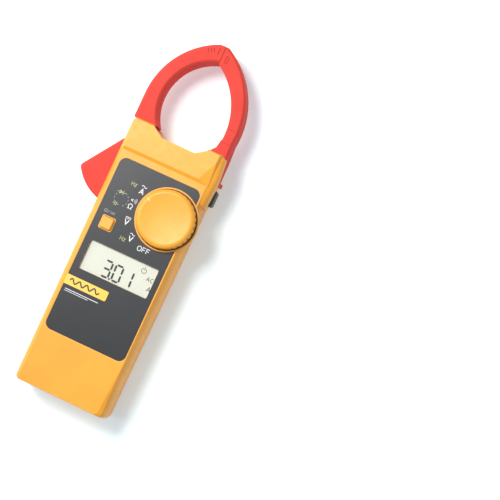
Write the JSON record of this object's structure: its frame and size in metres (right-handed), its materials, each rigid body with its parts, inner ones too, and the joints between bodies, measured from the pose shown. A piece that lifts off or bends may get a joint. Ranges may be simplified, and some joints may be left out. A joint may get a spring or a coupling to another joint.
{
  "type": "clamp meter",
  "caption": "Hand-held electrical clamp meter: slim yellow case with dial, display and buttons, a red spring-closed jaw opened by a side trigger, and input sockets at the bottom end.",
  "frame": {"origin": "on the flat rear face of the case, on the centreline, half way between the bottom end and the jaw tip", "axes": "+Z out of the front face, the dial side; +Y along the meter towards the jaws; +X to the right seen from the front"},
  "size_m": [0.0746, 0.2102, 0.0338],
  "materials": {
    "case_yellow": "satin moulded plastic, fine spark texture",
    "dial_yellow": "satin moulded plastic",
    "screw_steel": "zinc plated",
    "pin_steel": "bright drawn",
    "label_grey": "printed overlay, fine matt texture with a slight sheen",
    "window_clear": "clear acrylic, hard coated",
    "frame_black": "moulded",
    "lcd_glass": "polarised display cell",
    "lcd_backing": "reflector film",
    "zebra_rubber": "silicone",
    "board_green": "solder mask over glass laminate",
    "chip_black": "moulded epoxy",
    "resistor_blue": "lacquered",
    "capacitor_sleeve": "sleeved can",
    "crystal_can": "drawn can",
    "thermistor_ceramic": "lacquered disc",
    "rotor_white": "moulded acetal",
    "contact_brass": "plated",
    "key_grey": "moulded",
    "jaw_red": "satin moulded plastic",
    "core_steel": "stacked laminations",
    "coil_copper": "enamelled wire, taped",
    "jack_black": "moulded",
    "jack_red": "moulded",
    "cell_sleeve": "plain sleeve",
    "lead_red": "insulated wire",
    "lead_blue": "insulated wire"
  },
  "bodies": {
    "body": {"front_case": "case_yellow", "rear_case": "case_yellow", "case_screws": "screw_steel", "front_label": "label_grey", "display_window": "window_clear", "display_frame": "frame_black", "lcd_glass": "lcd_glass", "lcd_backing": "lcd_backing", "zebra_strips": "zebra_rubber", "main_board": "board_green", "main_chip": "chip_black", "small_chips": "chip_black", "chip_resistors": "chip_black", "input_resistors": "resistor_blue", "capacitors": "capacitor_sleeve", "crystal": "crystal_can", "trimmers": "resistor_blue", "thermistor": "thermistor_ceramic", "buzzer": "chip_black", "board_screws": "screw_steel", "button_dome": "zebra_rubber", "hold_switch": "chip_black", "fixed_jaw_front": "jaw_red", "fixed_jaw_rear": "jaw_red", "fixed_core": "core_steel", "fixed_coil": "coil_copper", "core_yoke": "core_steel", "jaw_pivot_pin": "pin_steel", "jaw_spring": "pin_steel", "com_jack": "contact_brass", "volt_jack": "contact_brass", "com_jack_shroud": "jack_black", "volt_jack_shroud": "jack_red", "battery_cells": "cell_sleeve", "battery_plus_contacts": "pin_steel", "battery_springs": "pin_steel", "battery_leads": "lead_red", "coil_leads": "lead_blue", "dial_seal": "frame_black"},
    "jaw_lever": {"moving_jaw_front": "jaw_red", "moving_jaw_rear": "jaw_red", "moving_core": "core_steel", "moving_coil": "coil_copper"},
    "dial": {"dial_knob": "dial_yellow", "switch_rotor": "rotor_white", "rotor_contacts": "contact_brass", "detent_balls": "pin_steel", "detent_springs": "pin_steel"},
    "function_key": {"function_button": "dial_yellow"},
    "hold_key": {"hold_button": "key_grey"},
    "door": {"battery_door": "case_yellow", "battery_door_screw": "screw_steel"}
  },
  "joints": [
    {"name": "jaw_open", "type": "hinge", "parent": "body", "child": "jaw_lever", "pos_m": [-0.0208, 0.028, 0], "axis": [0, 0, 1], "range_deg": [0, 22], "stiffness_Nm_per_rad": 0.6, "springref_deg": -20.05, "deforming": ["jaw_spring"]},
    {"name": "dial_turn", "type": "hinge", "parent": "body", "child": "dial", "pos_m": [0.0128, 0.0062, 0], "axis": [0, 0, 1], "range_deg": [0, 102]},
    {"name": "function_press", "type": "slide", "parent": "body", "child": "function_key", "axis": [0, 0, -1], "range_m": [0, 0.001], "stiffness_N_per_m": 800, "springref_m": -0.0005, "deforming": ["button_dome"]},
    {"name": "hold_press", "type": "slide", "parent": "body", "child": "hold_key", "axis": [-1, 0, 0], "range_m": [0, 0.001], "stiffness_N_per_m": 800, "springref_m": -0.0005},
    {"name": "door_lift", "type": "slide", "parent": "body", "child": "door", "axis": [0, 0, -1], "range_m": [0, 0.02]}
  ]
}
